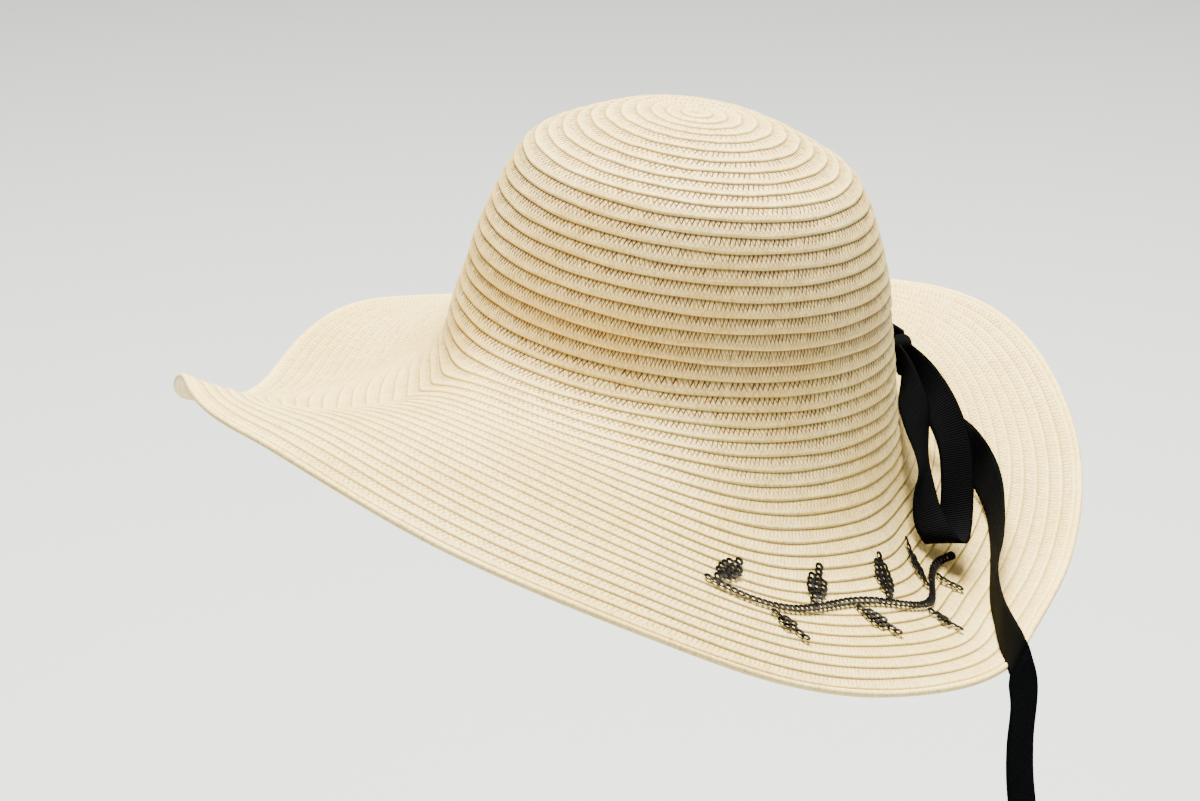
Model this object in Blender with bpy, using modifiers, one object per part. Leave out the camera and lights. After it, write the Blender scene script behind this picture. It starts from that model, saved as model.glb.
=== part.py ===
"""A floppy wide-brim sun hat of sewn straw braid, with a ribbon bow and a sequin vine.

Metres, +Z up. The origin is the centre of the head opening, where a head holds the hat.
The wearer looks along -Y, so the bow is at +Y, and the wearer's left is +X.
A heading is an angle round the crown: 0 at the bow, growing towards the wearer's right.
A reach runs out over the brim, from 0 at the head line to 1 at the rim.
"""
import math

import bmesh
import bpy
import numpy as np
from mathutils import Vector

# Driving sizes
HEAD_ROUND = 0.571
CROWN_HEIGHT = 0.084
CROWN_SET = 0.003
BRIM_WIDTH = 0.149
STRAW = 0.0018
TIP_BACK = math.radians(7.3)
RIBBON_WIDTH = 0.016
RIBBON_THICK = 0.001
KNOT_WIDTH = 0.014
KNOT_HEIGHT = 0.017
KNOT_THICK = 0.0085
KNOT_ROUND = 0.0018
TAIL_DROP = 0.068
SEQUIN = 0.0042
SEQUIN_HIGH = 0.0014
LEAF_LENGTH = 0.021
LEAF_WIDTH = 0.0098
LEAF_STALK = 0.0042
STEM_WAVE = 0.004
GAP = 0.0003
SEQUIN_LIFT = 0.0007
KNOT_LIFT = 0.0007

# Mesh fineness
SIDES = 64
CROWN_RINGS = 12
BRIM_REACHES = (0.0, 0.012, 0.07, 0.14, 0.22, 0.31, 0.40, 0.49, 0.58, 0.67, 0.76, 0.84, 0.92, 1.0)
# Ring at which the collar ends and the brim begins
COLLAR_RINGS = 3
SECTION_STEPS = 30
CROWN_WELD = 0.00001

HEAD_RADIUS = HEAD_ROUND / (2 * math.pi) + STRAW

# Outer side of the crown from its top to the head line:
# out, as a share of HEAD_RADIUS, and up, as a share of CROWN_HEIGHT
CROWN_PROFILE = (
    (0.0, 1.0),
    (0.10, 0.995),
    (0.26, 0.983),
    (0.38, 0.955),
    (0.50, 0.903),
    (0.62, 0.840),
    (0.74, 0.765),
    (0.80, 0.680),
    (0.85, 0.570),
    (0.90, 0.430),
    (0.94, 0.300),
    (0.965, 0.190),
    (0.98, 0.090),
    (1.0, 0.0),
)

# Fall of the brim in degrees from level, minus down, every 22.5 degrees of heading:
# near the crown, inner half, outer half and rim, at the reaches below
WAVE_REACHES = (0.14, 0.38, 0.68, 1.0)
BRIM_WAVE = (
    (-80, -60, -30, 20),
    (-70, -40, -10, 25),
    (-45, -20, 0, 20),
    (-35, -20, -10, 5),
    (-30, -25, -20, -10),
    (-35, -34, -28, -13),
    (-45, -34, -23, -12),
    (-75, -45, -30, -10),
    (-85, -25, -15, 0),
    (-72, -14, 12, 22),
    (-15, 0, 6, -4),
    (-15, 1, -8, -14),
    (-30, -19, -10, -18),
    (-60, -45, -15, -20),
    (-70, -55, -25, -10),
    (-75, -75, -35, 15),
)

# Knot on the foot of the crown: heading in degrees, and reach
KNOT_PLACE = (8.0, 0.115)

# Middle line of the loop that hangs over the brim, down one strand and up the other:
# heading in degrees, reach, height over the straw in ribbon widths,
# then the direction across the ribbon, as left, back and up
HANGING_LOOP = (
    (1.0, 0.19, 0.85, -0.3, 0.6, 0.7),
    (-1.5, 0.275, 1.15, -0.42, 0.85, 0.32),
    (-3.0, 0.38, 1.25, -0.45, 0.89, 0.0),
    (-5.0, 0.49, 1.05, -0.45, 0.89, 0.0),
    (-8.0, 0.575, 0.72, -0.38, 0.92, 0.0),
    (-11.5, 0.618, 0.52, -0.2, 0.98, 0.0),
    (-14.5, 0.628, 0.46, 0.0, 1.0, 0.0),
    (-17.0, 0.612, 0.47, -0.15, 0.98, 0.0),
    (-18.0, 0.57, 0.5, -0.4, 0.92, 0.0),
    (-17.2, 0.508, 0.48, -0.64, 0.77, 0.0),
    (-15.2, 0.435, 0.53, -0.82, 0.57, 0.0),
    (-12.5, 0.368, 0.58, -0.93, 0.37, 0.0),
    (-9.5, 0.31, 0.56, -0.97, 0.2, 0.15),
    (-7.0, 0.24, 0.44, -0.9, 0.0, 0.45),
    (-3.5, 0.18, 0.28, -0.5, -0.1, 0.85),
)

# Middle line of the loop behind the crown, with the same columns
RESTING_LOOP = (
    (20.0, 0.115, 0.34, 0.0, -0.25, 1.0),
    (28.0, 0.12, 0.55, 0.1, -0.3, 1.0),
    (36.0, 0.13, 0.78, 0.2, -0.35, 1.0),
    (43.0, 0.14, 0.80, 0.3, -0.35, 1.0),
    (48.0, 0.148, 0.60, 0.35, -0.35, 1.0),
    (49.5, 0.15, 0.40, 0.35, -0.35, 1.0),
    (47.0, 0.148, 0.24, 0.35, -0.35, 1.0),
    (40.0, 0.138, 0.20, 0.3, -0.35, 1.0),
    (30.0, 0.125, 0.18, 0.15, -0.3, 1.0),
    (20.0, 0.115, 0.15, 0.0, -0.25, 1.0),
)

# Middle line of the long end as far as the rim, with the same columns
TAIL_ON_BRIM = (
    (9.5, 0.26, 0.45, -0.95, 0.3, 0.0),
    (11.5, 0.37, 0.75, -0.8, 0.6, 0.0),
    (12.0, 0.485, 0.88, -0.55, 0.75, 0.35),
    (11.2, 0.62, 0.62, -0.3, 0.65, 0.7),
    (6.2, 0.69, 0.58, -0.1, 0.45, 0.9),
    (-0.2, 0.735, 0.57, 0.0, 0.35, 0.94),
    (-8.0, 0.78, 0.57, 0.0, 0.3, 0.95),
    (-18.0, 0.832, 0.58, 0.0, 0.3, 0.95),
    (-27.0, 0.885, 0.58, 0.0, 0.4, 0.92),
    (-33.5, 0.945, 0.55, -0.2, 0.5, 0.84),
)
# Its fall from the rim: left and back in ribbon widths, down as a share of TAIL_DROP,
# then the direction across the ribbon
TAIL_EDGE = (-37.0, 1.0)
TAIL_FALL = (
    (0.20, 0.28, -0.09, -0.45, 0.55, 0.7),
    (0.16, 0.40, 0.02, -0.55, 0.7, 0.4),
    (0.02, 0.47, 0.12, -0.68, 0.73, 0.1),
    (-0.02, 0.38, 0.25, -0.68, 0.73, 0.0),
    (0.0, 0.32, 0.5, -0.68, 0.73, 0.0),
    (0.0, 0.36, 0.75, -0.68, 0.73, 0.0),
    (0.0, 0.48, 1.0, -0.68, 0.73, 0.0),
)

# Sequin vine on the wearer's left side of the brim
VINE_START = -84.0
VINE_END = -12.0
VINE_REACH = 0.675
STEM_WAVES = 2.0
# Leaves: place along the stem as a share, side (1 towards the crown), length as a share of
# LEAF_LENGTH, and lean in degrees from straight out, minus towards the bow
VINE_LEAVES = (
    (0.02, 1, 0.95, -38),
    (0.13, -1, 0.80, -38),
    (0.25, 1, 1.05, -35),
    (0.37, -1, 0.85, -38),
    (0.49, 1, 1.10, -32),
    (0.61, -1, 0.80, -35),
    (0.73, 1, 1.0, -32),
    (0.85, -1, 0.65, -35),
)
STEM_POINTS = 54
# Width of a leaf at even steps from its stalk to its point, as a share of LEAF_WIDTH
LEAF_SHAPE = (0.28, 0.58, 0.82, 0.96, 1.0, 0.94, 0.78, 0.54, 0.24)

# Colours, roughness
STRAW_COLOUR = (0.80, 0.68, 0.47)
RIBBON_COLOUR = (0.012, 0.014, 0.013)
SEQUIN_COLOUR = (0.01, 0.01, 0.011)


def material(name, colour, roughness, metallic=0.0):
    """A plain painted-through material."""
    made = bpy.data.materials.new(name)
    made.use_nodes = True
    shader = made.node_tree.nodes["Principled BSDF"]
    shader.inputs["Base Color"].default_value = (*colour, 1.0)
    shader.inputs["Roughness"].default_value = roughness
    shader.inputs["Metallic"].default_value = metallic
    return made


def mesh_object(name, work, collection, finish):
    """Turns a bmesh into a smooth named object."""
    work.normal_update()
    bmesh.ops.recalc_face_normals(work, faces=work.faces[:])
    mesh = bpy.data.meshes.new(name)
    work.to_mesh(mesh)
    work.free()
    mesh.shade_smooth()
    made = bpy.data.objects.new(name, mesh)
    mesh.materials.append(finish)
    collection.objects.link(made)
    return made


def thicken(made, thick, offset):
    """Gives an open surface its wall."""
    wall = made.modifiers.new("wall", "SOLIDIFY")
    wall.thickness = thick
    wall.offset = offset


def between(a, b, c, d, part):
    """The smooth value a part of the way from b to c, with a and d beyond them."""
    bend = 2 * a - 5 * b + 4 * c - d
    twist = 3 * b - a - 3 * c + d
    return 0.5 * (2 * b + (c - a) * part + bend * part**2 + twist * part**3)


def curve_through(points, count):
    """Reads a smooth curve through the rows of points at count even steps."""
    rows = np.array(points, float)
    rows = np.vstack([2 * rows[0] - rows[1], rows, 2 * rows[-1] - rows[-2]])
    last = len(rows) - 3
    steps = np.linspace(0.0, last, count)
    low = np.minimum(steps.astype(int), last - 1)
    return between(*(rows[low + k] for k in range(4)), (steps - low)[:, None])


def outward(heading):
    """Level direction at a heading in degrees, before the hat is tipped back."""
    turn = math.radians(heading)
    return np.array((-math.sin(turn), math.cos(turn), 0.0))


def tipped(point):
    """Leans a point with the crown, about the head line."""
    x, y, z = point
    lean, stand = math.sin(TIP_BACK), math.cos(TIP_BACK)
    return np.array((x, y * stand + z * lean, z * stand - y * lean))


def crown_outline():
    """Outer profile of the crown at even steps of its length, with a straight last stretch."""
    sizes = np.array([(out * HEAD_RADIUS, up * CROWN_HEIGHT) for out, up in CROWN_PROFILE])
    fine = curve_through(sizes, 400)
    along = np.concatenate([[0.0], np.cumsum(np.linalg.norm(np.diff(fine, axis=0), axis=1))])
    marks = np.linspace(0.0, along[-1], CROWN_RINGS + 1)
    marks = np.append(marks[:-1], (along[-1] - BRIM_REACHES[1] * BRIM_WIDTH, along[-1]))
    return np.column_stack([np.interp(marks, along, fine[:, k]) for k in range(2)])


def wall_fall():
    """Slope of the crown's wall at the head line, in degrees."""
    above, foot = crown_outline()[-2:]
    return math.degrees(math.atan2(foot[1] - above[1], foot[0] - above[0]))


def falls_at(heading):
    """The brim's slopes at a heading, from the head line to the rim, in degrees."""
    wave = np.array(BRIM_WAVE, float)
    place = (heading % 360.0) / 360.0 * len(wave)
    first = int(place)
    near = (wave[(first + k) % len(wave)] for k in (-1, 0, 1, 2))
    return np.append(wall_fall(), between(*near, place - first))


def brim_section(heading):
    """Upper side of the brim at a heading, at BRIM_REACHES, as distances out and up."""
    fine = np.linspace(0.0, 1.0, 241)
    known = (0.0, *WAVE_REACHES)
    fall = np.radians(np.interp(fine - 0.5 * fine[1], known, falls_at(heading)))
    fall[fine <= BRIM_REACHES[1]] = math.radians(wall_fall())
    step = BRIM_WIDTH * fine[1]
    out = HEAD_RADIUS + np.concatenate([[0.0], np.cumsum(np.cos(fall[1:]) * step)])
    up = np.concatenate([[0.0], np.cumsum(np.sin(fall[1:]) * step)])
    return np.column_stack([np.interp(BRIM_REACHES, fine, out), np.interp(BRIM_REACHES, fine, up)])


def brim_grid():
    """Upper side of the brim: one row of points for each heading, before the tip back."""
    rows = []
    for side in range(SIDES):
        heading = 360.0 * side / SIDES
        rows.append([outward(heading) * out + (0.0, 0.0, up) for out, up in brim_section(heading)])
    return np.array(rows)


GRID = brim_grid()


def on_brim(heading, reach):
    """The point on the upper side of the brim and the way out of the straw there."""
    place = (heading % 360.0) / 360.0 * SIDES
    side, part = int(place), place - int(place)
    ring = min(int(np.searchsorted(BRIM_REACHES, reach, "right")) - 1, len(BRIM_REACHES) - 2)
    share = (reach - BRIM_REACHES[ring]) / (BRIM_REACHES[ring + 1] - BRIM_REACHES[ring])
    near, far = GRID[side % SIDES], GRID[(side + 1) % SIDES]
    inner = near[ring] * (1 - part) + far[ring] * part
    outer = near[ring + 1] * (1 - part) + far[ring + 1] * part
    this = near[ring] * (1 - share) + near[ring + 1] * share
    next_one = far[ring] * (1 - share) + far[ring + 1] * share
    normal = np.cross(outer - inner, next_one - this)
    return inner * (1 - share) + outer * share, normal / np.linalg.norm(normal)


def over_brim(heading, reach, lift):
    """A point held lift over the straw, in the finished place."""
    point, normal = on_brim(heading, reach)
    return tipped(point + normal * lift)


def build_crown(collection, finish):
    """Crown: a turned dome, open below, its top set a little forward."""
    work = bmesh.new()
    line = [work.verts.new((0.0, out, up)) for out, up in crown_outline()]
    edges = [work.edges.new(pair) for pair in zip(line, line[1:])]
    bmesh.ops.spin(
        work, geom=line + edges, axis=(0.0, 0.0, 1.0), cent=(0.0, 0.0, 0.0),
        angle=2 * math.pi, steps=SIDES, use_merge=True,
    )
    bmesh.ops.remove_doubles(work, verts=work.verts[:], dist=CROWN_WELD)
    for vert in work.verts:
        vert.co.y -= CROWN_SET * (max(vert.co.z, 0.0) / CROWN_HEIGHT) ** 2
    crown = mesh_object("crown", work, collection, finish)
    crown.rotation_euler.x = -TIP_BACK
    thicken(crown, STRAW, -1.0)
    return crown


def build_sheet(name, low, high, collection, finish):
    """Waved sheet round the crown, from just past one ring of the brim to another."""
    work = bmesh.new()
    spare = GAP / ((BRIM_REACHES[low + 1] - BRIM_REACHES[low]) * BRIM_WIDTH)
    first = GRID[:, low] + (GRID[:, low + 1] - GRID[:, low]) * spare
    columns = []
    for side in range(SIDES):
        points = [first[side], *GRID[side][low + 1:high + 1]]
        columns.append([work.verts.new(point) for point in points])
    for column, after in zip(columns, columns[1:] + columns[:1]):
        for step in range(len(column) - 1):
            work.faces.new((column[step], column[step + 1], after[step + 1], after[step]))
    sheet = mesh_object(name, work, collection, finish)
    if sheet.data.polygons[0].normal.dot(Vector((0.0, 1.0, 0.0))) < 0:
        sheet.data.flip_normals()
    sheet.rotation_euler.x = -TIP_BACK
    thicken(sheet, STRAW, -1.0)
    return sheet


def build_brim(collection, finish):
    """Collar, which turns out from the crown, and the brim, in folds of its own weight."""
    build_sheet("collar", 0, COLLAR_RINGS, collection, finish)
    build_sheet("brim", COLLAR_RINGS, len(BRIM_REACHES) - 1, collection, finish)


def knot_frame():
    """Middle of the knot, with its directions along the crown, out of it and up it."""
    heading, reach = KNOT_PLACE
    foot, normal = on_brim(heading, reach)
    along = np.cross((0.0, 0.0, 1.0), normal)
    along /= np.linalg.norm(along)
    middle = tipped(foot + normal * (KNOT_LIFT + KNOT_THICK / 2))
    out = tipped(normal)
    side = tipped(along)
    return middle, side, out, np.cross(out, side)


def build_knot(collection, finish):
    """Knot: a rounded wrap of ribbon sewn to the foot of the crown."""
    middle, side, out, up = knot_frame()
    work = bmesh.new()
    bmesh.ops.create_cube(work, size=1.0)
    size = (KNOT_WIDTH, KNOT_THICK, KNOT_HEIGHT)
    for vert in work.verts:
        place = [share * length for share, length in zip(vert.co, size)]
        vert.co = middle + side * place[0] + out * place[1] + up * place[2]
    knot = mesh_object("bow_knot", work, collection, finish)
    edge = knot.modifiers.new("rounded", "BEVEL")
    edge.width = KNOT_ROUND
    edge.segments = 2
    edge.limit_method = "NONE"
    return knot


def knot_exit(way, layer):
    """First section of a strand that leaves a side of the knot, in its outer or inner layer."""
    middle, side, out, up = knot_frame()
    clear = KNOT_WIDTH / 2 + 3 * GAP
    return (*(middle + side * way * clear + out * layer * KNOT_THICK / 4), *up)


def ribbon_strip(name, sections, collection, finish):
    """Ribbon: a flat strip led along its middle line, with its own width across."""
    rows = curve_through(sections, SECTION_STEPS)
    work = bmesh.new()
    pairs = []
    for row in rows:
        across = row[3:] / np.linalg.norm(row[3:]) * RIBBON_WIDTH / 2
        pairs.append([work.verts.new(row[:3] + across * way) for way in (-1, 0, 1)])
    for pair, after in zip(pairs, pairs[1:]):
        for step in range(2):
            work.faces.new((pair[step], pair[step + 1], after[step + 1], after[step]))
    strip = mesh_object(name, work, collection, finish)
    thicken(strip, RIBBON_THICK, 0.0)
    return strip


def route(table):
    """Sections of a ribbon from a table of places over the brim."""
    sections = []
    for heading, reach, lift, left, back, up in table:
        sections.append((*over_brim(heading, reach, lift * RIBBON_WIDTH), left, back, up))
    return sections


def tail_sections():
    """The long end: out of the knot, along the fold of the brim, and down over the rim."""
    middle, side, out, up = knot_frame()
    leave = middle - up * (KNOT_HEIGHT / 2 + 3 * GAP)
    sections = [(*leave, *(side * -1.0))]
    if sections[0][3] > 0:
        sections = [(*leave, *side)]
    sections += route(TAIL_ON_BRIM)
    edge = over_brim(*TAIL_EDGE, 0.0)
    for left, back, down, across_left, across_back, across_up in TAIL_FALL:
        place = edge + (left * RIBBON_WIDTH, back * RIBBON_WIDTH, -down * TAIL_DROP)
        sections.append((*place, across_left, across_back, across_up))
    return sections


def sequin_strip(name, places, widths, collection, finish):
    """Sequins lying on the brim: a low strip along places, with its width at each."""
    points, normals = [], []
    for heading, reach in places:
        point, normal = on_brim(heading, reach)
        points.append(tipped(point))
        normals.append(tipped(normal))
    last = len(points) - 1
    shape = ((-1.0, 0.3), (-0.55, 1.0), (0.55, 1.0), (1.0, 0.3), (0.6, 0.0), (-0.6, 0.0))
    work = bmesh.new()
    rings = []
    for place, width in enumerate(widths):
        way = points[min(place + 1, last)] - points[max(place - 1, 0)]
        across = np.cross(normals[place], way / np.linalg.norm(way)) * width / 2
        foot = points[place] + normals[place] * SEQUIN_LIFT
        rings.append([
            work.verts.new(foot + across * side + normals[place] * up * SEQUIN_HIGH)
            for side, up in shape
        ])
    for ring, after in zip(rings, rings[1:]):
        for step in range(len(shape)):
            other = (step + 1) % len(shape)
            work.faces.new((ring[step], ring[other], after[other], after[step]))
    work.faces.new(rings[0])
    work.faces.new(rings[-1])
    return mesh_object(name, work, collection, finish)


def vine_place(share, across):
    """Heading and reach at a share of the vine's length, across it towards the rim."""
    heading = VINE_START + (VINE_END - VINE_START) * share
    return heading, VINE_REACH + across / BRIM_WIDTH


def stem_wave(share):
    """How far the stem lies from its middle line, towards the rim."""
    return STEM_WAVE * math.sin(2 * math.pi * STEM_WAVES * share)


def vine_length():
    """Length of the vine's middle line on the brim."""
    marks = [over_brim(*vine_place(share, 0.0), 0.0) for share in np.linspace(0.0, 1.0, 60)]
    return float(np.linalg.norm(np.diff(marks, axis=0), axis=1).sum())


def leaf_places(share, side, length, lean):
    """Middle line of a leaf beside the stem, from its stalk to its point."""
    total = vine_length()
    turn = math.radians(lean)
    places = []
    for out in np.linspace(0.0, length * LEAF_LENGTH, len(LEAF_SHAPE)):
        away = LEAF_STALK + out * math.cos(turn)
        slide = -out * math.sin(turn)
        places.append(vine_place(share + slide / total, stem_wave(share) - side * away))
    return places


def build_vine(collection, finish):
    """Running vine of strung sequins: a waved stem and its leaves."""
    stem = [vine_place(share, stem_wave(share)) for share in np.linspace(0.0, 1.0, STEM_POINTS)]
    sequin_strip("sequin_stem", stem, [SEQUIN] * STEM_POINTS, collection, finish)
    for number, leaf in enumerate(VINE_LEAVES, start=1):
        widths = [leaf[2] * LEAF_WIDTH * part for part in LEAF_SHAPE]
        sequin_strip(f"sequin_leaf_{number}", leaf_places(*leaf), widths, collection, finish)


def build_bow(collection, finish):
    """Bow: the knot, two loops and the long end."""
    build_knot(collection, finish)
    near, far = -1.0, 1.0
    hanging = [knot_exit(near, 1.0), *route(HANGING_LOOP), knot_exit(near, -1.0)]
    ribbon_strip("bow_loop_left", hanging, collection, finish)
    resting = [knot_exit(far, 1.0), *route(RESTING_LOOP), knot_exit(far, -1.0)]
    ribbon_strip("bow_loop_right", resting, collection, finish)
    ribbon_strip("ribbon_tail", tail_sections(), collection, finish)


def main():
    """Builds the hat."""
    for old in list(bpy.data.objects):
        bpy.data.objects.remove(old, do_unlink=True)
    hat = bpy.data.collections.new("sun_hat")
    bpy.context.scene.collection.children.link(hat)
    straw = material("straw_braid", STRAW_COLOUR, 0.75)
    ribbon = material("black_ribbon", RIBBON_COLOUR, 0.5)
    sequins = material("black_sequins", SEQUIN_COLOUR, 0.25)
    build_crown(hat, straw)
    build_brim(hat, straw)
    build_bow(hat, ribbon)
    build_vine(hat, sequins)


main()
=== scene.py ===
"""Looks of a floppy wide-brim sun hat: sewn straw braid, ribbon bow and sequin vine.

Metres, +Z up. The wearer looks along -Y and the wearer's left is +X.
A heading is an angle round the crown in degrees: 0 at the bow, growing towards the wearer's right.
A reach runs out over the brim, from 0 at the head line to 1 at the rim.
Flat means laid out round the Z axis before a piece is given its place on the hat.
"""
import math

import bmesh
import bpy
import numpy as np
from mathutils import Matrix, Vector


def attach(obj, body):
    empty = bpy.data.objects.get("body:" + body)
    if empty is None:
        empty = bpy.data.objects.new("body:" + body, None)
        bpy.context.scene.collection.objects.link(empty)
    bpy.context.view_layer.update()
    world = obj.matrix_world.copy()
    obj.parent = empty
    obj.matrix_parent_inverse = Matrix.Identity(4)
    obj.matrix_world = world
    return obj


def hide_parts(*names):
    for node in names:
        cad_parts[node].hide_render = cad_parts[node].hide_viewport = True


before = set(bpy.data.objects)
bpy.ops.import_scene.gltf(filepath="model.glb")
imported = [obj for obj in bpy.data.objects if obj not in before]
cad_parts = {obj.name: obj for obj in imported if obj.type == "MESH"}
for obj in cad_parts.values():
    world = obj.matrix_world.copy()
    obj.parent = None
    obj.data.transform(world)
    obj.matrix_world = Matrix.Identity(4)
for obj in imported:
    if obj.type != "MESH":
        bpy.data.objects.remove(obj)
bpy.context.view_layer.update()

# Sizes of the hat. CROWN_SET is how far the crown's top sits towards the wearer's front
HEAD_ROUND = 0.571
CROWN_HEIGHT = 0.084
CROWN_SET = 0.003
BRIM_WIDTH = 0.149
STRAW = 0.0018
TIP_BACK = math.radians(7.3)
RIBBON_WIDTH = 0.016
KNOT_WIDTH = 0.014
KNOT_HEIGHT = 0.017
KNOT_THICK = 0.0085
TAIL_DROP = 0.068
SEQUIN = 0.0042
LEAF_LENGTH = 0.021
LEAF_WIDTH = 0.0098
LEAF_STALK = 0.0042
STEM_WAVE = 0.004
GAP = 0.0003
KNOT_LIFT = 0.0007
HEAD_RADIUS = HEAD_ROUND / (2 * math.pi) + STRAW

# Outer side of the crown: out, as a share of HEAD_RADIUS, and up, as a share of CROWN_HEIGHT
CROWN_PROFILE = (
    (0.0, 1.0), (0.10, 0.995), (0.26, 0.983), (0.38, 0.955), (0.50, 0.903), (0.62, 0.840),
    (0.74, 0.765), (0.80, 0.680), (0.85, 0.570), (0.90, 0.430), (0.94, 0.300), (0.965, 0.190),
    (0.98, 0.090), (1.0, 0.0),
)

# Fall of the brim in degrees, minus down, every 22.5 degrees of heading, at these reaches
WAVE_REACHES = (0.14, 0.38, 0.68, 1.0)
BRIM_WAVE = (
    (-80, -60, -30, 20),
    (-70, -40, -10, 25),
    (-45, -20, 0, 20),
    (-35, -20, -10, 5),
    (-30, -25, -20, -10),
    (-35, -34, -28, -13),
    (-45, -34, -23, -12),
    (-75, -45, -30, -10),
    (-85, -25, -15, 0),
    (-72, -14, 12, 22),
    (-15, 0, 6, -4),
    (-15, 1, -8, -14),
    (-30, -19, -10, -18),
    (-60, -45, -15, -20),
    (-70, -55, -25, -10),
    (-75, -75, -35, 15),
)

# Sides of the brim on each hand over which its folds are eased, and how many falls of a heading
# this changes, from the head line outwards
FOLD_EASE = 8
EASED_FALLS = 3

# Knot: heading and reach of its middle
KNOT_PLACE = (8.0, 0.115)

# Ribbons over the brim: heading, reach, height over the straw in ribbon widths,
# then the direction across the ribbon, as left, back and up
HANGING_LOOP = (
    (1.0, 0.19, 0.85, -0.3, 0.6, 0.7),
    (-1.5, 0.275, 1.15, -0.42, 0.85, 0.32),
    (-3.0, 0.38, 1.25, -0.45, 0.89, 0.0),
    (-5.0, 0.49, 1.05, -0.45, 0.89, 0.0),
    (-8.0, 0.575, 0.72, -0.38, 0.92, 0.0),
    (-11.5, 0.618, 0.52, -0.2, 0.98, 0.0),
    (-14.5, 0.628, 0.46, 0.0, 1.0, 0.0),
    (-17.0, 0.612, 0.47, -0.15, 0.98, 0.0),
    (-18.0, 0.57, 0.5, -0.4, 0.92, 0.0),
    (-17.2, 0.508, 0.48, -0.64, 0.77, 0.0),
    (-15.2, 0.435, 0.53, -0.82, 0.57, 0.0),
    (-12.5, 0.368, 0.58, -0.94, 0.30, 0.05),
    (-9.5, 0.31, 0.56, -0.87, 0.42, 0.22),
    (-7.0, 0.24, 0.50, -0.6, 0.68, 0.42),
    (-3.5, 0.18, 0.34, -0.4, 0.55, 0.73),
)
RESTING_LOOP = (
    (20.0, 0.115, 0.34, 0.0, -0.25, 1.0),
    (28.0, 0.12, 0.55, 0.1, -0.3, 1.0),
    (36.0, 0.13, 0.78, 0.2, -0.35, 1.0),
    (43.0, 0.14, 0.80, 0.3, -0.35, 1.0),
    (48.0, 0.148, 0.60, 0.35, -0.35, 1.0),
    (49.5, 0.15, 0.40, 0.35, -0.35, 1.0),
    (47.0, 0.148, 0.24, 0.35, -0.35, 1.0),
    (40.0, 0.138, 0.20, 0.3, -0.35, 1.0),
    (30.0, 0.125, 0.18, 0.15, -0.3, 1.0),
    (20.0, 0.115, 0.15, 0.0, -0.25, 1.0),
)
TAIL_ON_BRIM = (
    (9.5, 0.26, 0.45, -0.95, 0.3, 0.0),
    (11.5, 0.37, 0.75, -0.8, 0.6, 0.0),
    (12.0, 0.485, 0.88, -0.55, 0.75, 0.35),
    (11.2, 0.62, 0.62, -0.3, 0.65, 0.7),
    (6.2, 0.69, 0.58, -0.1, 0.45, 0.9),
    (-0.2, 0.735, 0.57, 0.0, 0.35, 0.94),
    (-8.0, 0.78, 0.57, 0.0, 0.3, 0.95),
    (-18.0, 0.832, 0.58, 0.0, 0.15, 0.99),
    (-27.0, 0.885, 0.58, -0.05, 0.12, 0.99),
    (-33.2, 0.928, 0.57, -0.18, 0.2, 0.96),
)
# The long end's fall from the rim: left and back in ribbon widths, down as a share of TAIL_DROP,
# then the direction across the ribbon
TAIL_EDGE = (-37.0, 1.0)
TAIL_FALL = (
    (0.20, 0.10, -0.09, -0.38, 0.38, 0.84),
    (0.16, 0.22, 0.03, -0.54, 0.6, 0.59),
    (0.06, 0.33, 0.15, -0.64, 0.72, 0.28),
    (0.0, 0.36, 0.28, -0.68, 0.73, 0.08),
    (0.0, 0.32, 0.5, -0.68, 0.73, 0.0),
    (0.0, 0.36, 0.75, -0.68, 0.73, 0.0),
    (0.0, 0.48, 1.0, -0.68, 0.73, 0.0),
)

# Vine: its ends as headings, the reach of its stem, and its waves
VINE_START = -84.0
VINE_END = -12.0
VINE_REACH = 0.675
STEM_WAVES = 2.0
# Leaves: place along the stem as a share, side (1 towards the crown), length as a share of
# LEAF_LENGTH, and lean in degrees
VINE_LEAVES = (
    (0.02, 1, 0.95, -38),
    (0.13, -1, 0.80, -38),
    (0.25, 1, 1.05, -35),
    (0.37, -1, 0.85, -38),
    (0.49, 1, 1.10, -32),
    (0.61, -1, 0.80, -35),
    (0.73, 1, 1.0, -32),
    (0.85, -1, 0.65, -35),
)
# Width of a leaf at even steps from its stalk to its point, as a share of LEAF_WIDTH
LEAF_SHAPE = (0.28, 0.58, 0.82, 0.96, 1.0, 0.94, 0.78, 0.54, 0.24)

# Sewn braid: its rows, the rolled edge as a share of a row, and the length of a stitch
CROWN_ROWS = 22
BRIM_ROWS = 24
HEM_SHARE = 0.5
STITCH = 0.0024
# Fineness of its walls, and of the curves that they follow
CROWN_SIDES = 240
BRIM_SIDES = 300
CROWN_STEPS = 1500
BRIM_STEPS = 299
# Angle in degrees past which an edge of the straw looks sharp, and the reach of a weld
STRAW_SHARP = 55
WELD = 1e-6
# Face of one row of braid, from its upper edge to its lower one: share of its width, and lift
ROW_FACE = (
    (0.0, -0.00040),
    (0.09, -0.00022),
    (0.34, 0.00008),
    (0.66, 0.00034),
    (0.86, 0.00042),
    (0.95, 0.00026),
)
# Lower edge of the crown's last row, which laps over the first row of the brim: out and lift
SEAM_LIP = ((0.0003, 0.00012), (0.0004, -0.00004), (-0.00015, -0.00022))
# Back of one row, with the same columns as ROW_FACE
ROW_BACK = (
    (0.03, -0.0019),
    (0.20, -0.0018),
    (0.90, -0.0014),
)
# Rolled edge past the last row, over and under: share of its width, and lift
HEM_FACE = ((0.0, -0.0003), (0.12, 0.0001), (0.4, 0.0006), (0.7, 0.0006), (0.92, 0.0001), (1.0, -0.0007))
HEM_BACK = ((0.05, -0.0018), (0.4, -0.0021), (0.7, -0.0020), (0.93, -0.0014))
# Plait on the rolled edge: where in a row it begins, and how much of a row it shows for each row
HEM_PLAIT = 0.76
HEM_PACE = 0.34
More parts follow.
